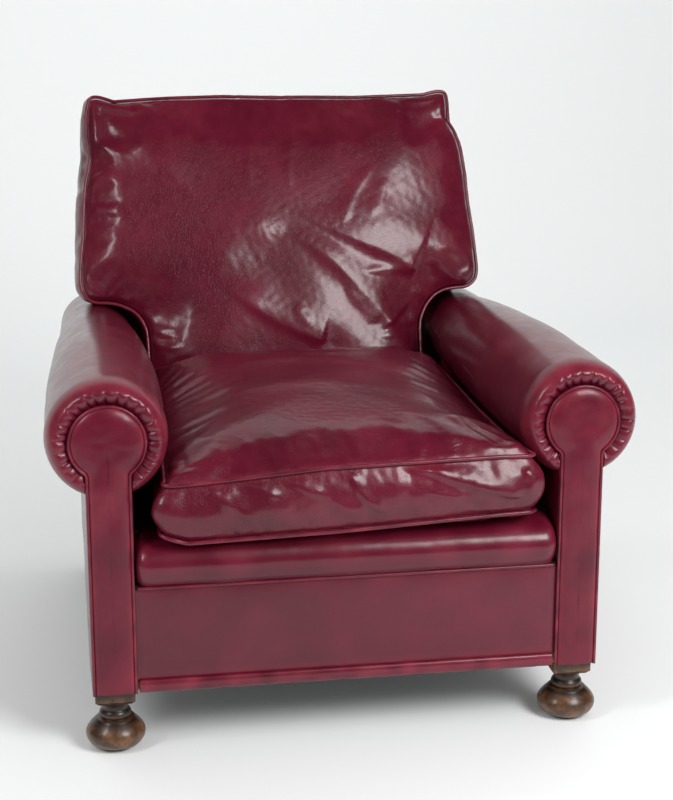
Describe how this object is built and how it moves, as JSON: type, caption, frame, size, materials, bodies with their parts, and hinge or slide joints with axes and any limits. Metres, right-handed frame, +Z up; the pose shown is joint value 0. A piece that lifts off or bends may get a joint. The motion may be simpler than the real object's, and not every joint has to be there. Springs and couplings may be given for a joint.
{
  "type": "leather club armchair",
  "caption": "Deep leather armchair with scroll arms, pleated arm fronts, a loose seat cushion, a loose back cushion and turned bun feet.",
  "frame": {"origin": "on the floor, under the middle of the chair's width and depth", "axes": "+Z up; the chair faces -Y, so the sitter's left arm is on +X; X runs across the seat"},
  "size_m": [0.887, 1.0127, 0.9043],
  "materials": {
    "arm_leather": "worn glazed leather",
    "front_leather": "worn glazed leather, redder at its edges",
    "cushion_leather": "soft worn leather with creases",
    "back_leather": "glazed leather",
    "piping": "leather cord",
    "foot_wood": "dark polished wood",
    "frame_wood": "bare beech",
    "webbing": "woven jute",
    "spring_steel": "coppered steel wire",
    "tack_steel": "blued steel",
    "hessian": "coarse woven jute",
    "stuffing": "fibre stuffing",
    "deck_cloth": "dark cotton",
    "dust_cloth": "black cotton"
  },
  "bodies": {
    "chair": {"arm_board_left": "frame_wood", "arm_board_right": "frame_wood", "arm_facing_left": "front_leather", "arm_facing_right": "front_leather", "arm_front_pleats_left": "front_leather", "arm_front_pleats_right": "front_leather", "arm_roll_leather_left": "arm_leather", "arm_roll_leather_right": "arm_leather", "arm_roll_stuffing_left": "stuffing", "arm_roll_stuffing_right": "stuffing", "arm_stump_left": "frame_wood", "arm_stump_right": "frame_wood", "arm_tuck_rail_left": "frame_wood", "arm_tuck_rail_right": "frame_wood", "back_border_leather": "back_leather", "back_pad": "stuffing", "back_rail": "frame_wood", "back_top_rail": "frame_wood", "back_tuck_rail": "frame_wood", "back_upright_left": "frame_wood", "back_upright_right": "frame_wood", "back_webbing_crosswise": "webbing", "back_webbing_upright": "webbing", "corner_blocks": "frame_wood", "dust_cover": "dust_cloth", "dust_cover_tacks": "tack_steel", "facing_piping_left": "piping", "facing_piping_right": "piping", "front_edge_stuffing": "stuffing", "front_foot_left": "foot_wood", "front_foot_right": "foot_wood", "front_moulding": "front_leather", "front_panel": "front_leather", "front_panel_wadding": "stuffing", "front_rail": "frame_wood", "inside_arm_left": "arm_leather", "inside_arm_right": "arm_leather", "inside_back_cover": "back_leather", "lip_piping": "piping", "lip_roll": "front_leather", "outside_arm_left": "arm_leather", "outside_arm_right": "arm_leather", "outside_back": "back_leather", "rail_dowels": "frame_wood", "rear_arm_post_left": "frame_wood", "rear_arm_post_right": "frame_wood", "rear_foot_left": "foot_wood", "rear_foot_right": "foot_wood", "seat_deck_cover": "deck_cloth", "seat_deck_pad": "stuffing", "seat_hessian": "hessian", "seat_springs": "spring_steel", "seat_webbing_crosswise": "webbing", "seat_webbing_lengthwise": "webbing", "side_rail_left": "frame_wood", "side_rail_right": "frame_wood"},
    "seat_cushion": {"seat_cushion": "cushion_leather", "seat_cushion_piping": "piping"},
    "back_cushion": {"back_cushion": "cushion_leather", "back_cushion_piping": "piping"}
  },
  "joints": [
    {"name": "seat_cushion_slide", "type": "slide", "parent": "chair", "child": "seat_cushion", "axis": [0, -1, 0], "range_m": [0, 0.72]},
    {"name": "back_cushion_lift", "type": "slide", "parent": "chair", "child": "back_cushion", "axis": [0, 0.3665, 0.9304], "range_m": [0, 0.58]}
  ]
}
